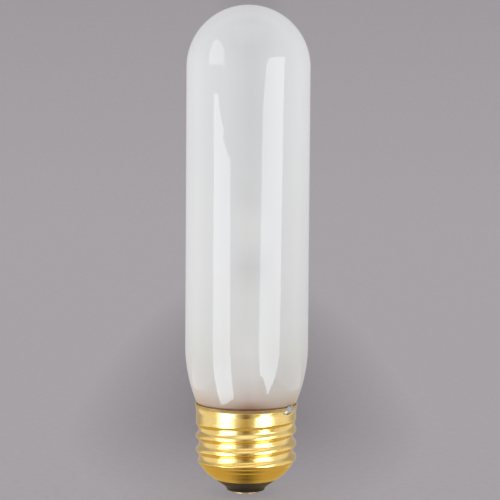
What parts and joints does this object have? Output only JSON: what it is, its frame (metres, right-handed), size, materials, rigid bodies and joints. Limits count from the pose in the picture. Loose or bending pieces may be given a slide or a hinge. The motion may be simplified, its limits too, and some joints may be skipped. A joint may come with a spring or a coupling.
{
  "type": "tubular light bulb",
  "caption": "Frosted tubular filament lamp with a domed end and a brass medium screw cap, which turns into a lamp holder that feeds it at the shell and the centre contact.",
  "frame": {"origin": "middle of the centre contact's tip, where the lamp meets the bottom of its holder", "axes": "+Z along the lamp's axis, from the contact to the dome; +X to the right of the picture, with the side solder between +X and the front (-Y)"},
  "size_m": [0.0318, 0.0318, 0.126],
  "materials": {
    "frosted_glass": "glossy outside, etched white inside",
    "brass": "bright rolled sheet",
    "black_glass": "glossy black",
    "wire": "drawn, slightly tarnished",
    "solder": "dull silver",
    "cement": "matt"
  },
  "bodies": {
    "root": {"glass_bulb": "frosted_glass", "screw_shell": "brass", "insulator": "black_glass", "contact_plate": "brass", "centre_lead": "wire", "tip_solder": "solder", "side_lead": "wire", "side_solder": "solder", "basing_cement": "cement"}
  },
  "joints": []
}
